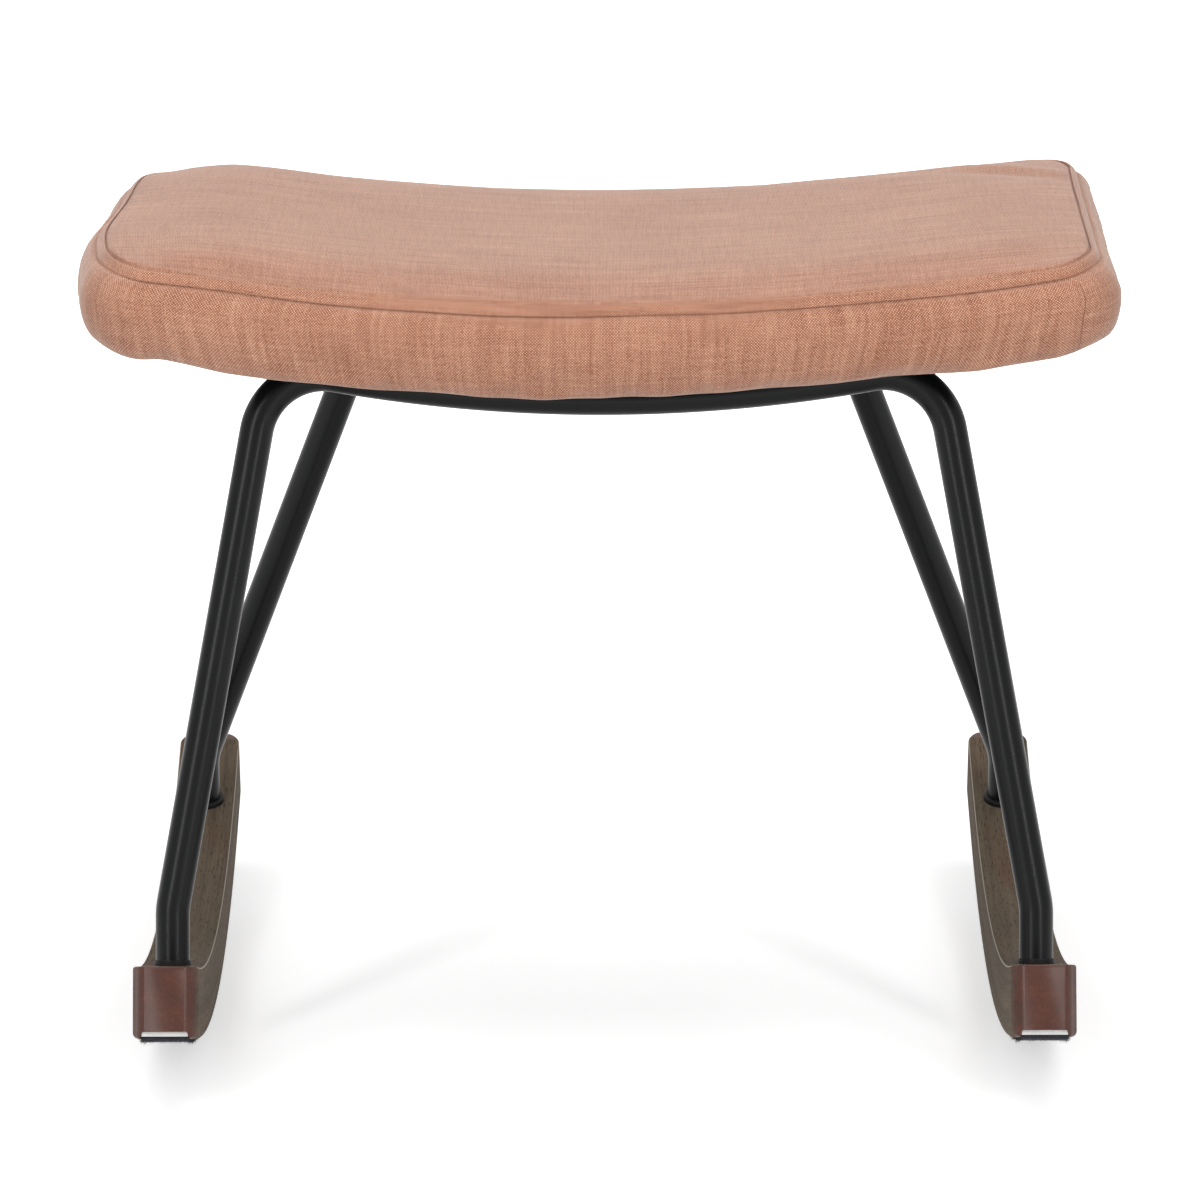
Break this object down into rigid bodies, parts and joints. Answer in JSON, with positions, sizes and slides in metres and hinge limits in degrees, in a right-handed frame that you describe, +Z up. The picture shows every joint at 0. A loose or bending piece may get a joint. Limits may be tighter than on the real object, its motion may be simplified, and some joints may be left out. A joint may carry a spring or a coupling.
{
  "type": "rocking footstool",
  "caption": "Upholstered footstool with a dished terracotta seat on slim black tube hoops, standing on bent wooden rockers with felt soles.",
  "frame": {"origin": "on the floor, under the middle of the stool, midway between the rockers", "axes": "+X from the left rocker to the right rocker as the picture shows them, +Y from the front to the rear along the rockers, +Z up"},
  "size_m": [0.538, 0.4878, 0.4363],
  "materials": {
    "rocker_wood": "dark walnut stain under a satin lacquer",
    "sole_backing": "white self-adhesive foam tape",
    "sole_felt": "dark needled felt",
    "black_powder_coat": "satin black powder coat",
    "black_collar": "moulded black plastic",
    "zinc_steel": "zinc-plated steel",
    "plywood": "bare birch plywood",
    "foam": "open-cell upholstery foam",
    "wadding_fibre": "white polyester fibre wadding",
    "cover_fabric": "slubby woven upholstery cloth, terracotta",
    "dust_cover_fabric": "black non-woven cloth"
  },
  "bodies": {
    "root": {"left_rocker": "rocker_wood", "right_rocker": "rocker_wood", "left_sole_backing": "sole_backing", "right_sole_backing": "sole_backing", "left_felt_sole": "sole_felt", "right_felt_sole": "sole_felt", "front_left_collar": "black_collar", "front_right_collar": "black_collar", "rear_left_collar": "black_collar", "rear_right_collar": "black_collar", "foot_bolts": "zinc_steel", "foot_washers": "zinc_steel", "foot_inserts": "zinc_steel", "front_hoop": "black_powder_coat", "rear_hoop": "black_powder_coat", "front_left_seat_tab": "black_powder_coat", "front_right_seat_tab": "black_powder_coat", "rear_left_seat_tab": "black_powder_coat", "rear_right_seat_tab": "black_powder_coat", "seat_screws": "zinc_steel", "tee_nuts": "zinc_steel", "seat_board": "plywood", "dust_cover": "dust_cover_fabric", "foam_core": "foam", "wadding": "wadding_fibre", "cover_boxing": "cover_fabric", "cover_top_panel": "cover_fabric", "cover_welt": "cover_fabric"}
  },
  "joints": []
}
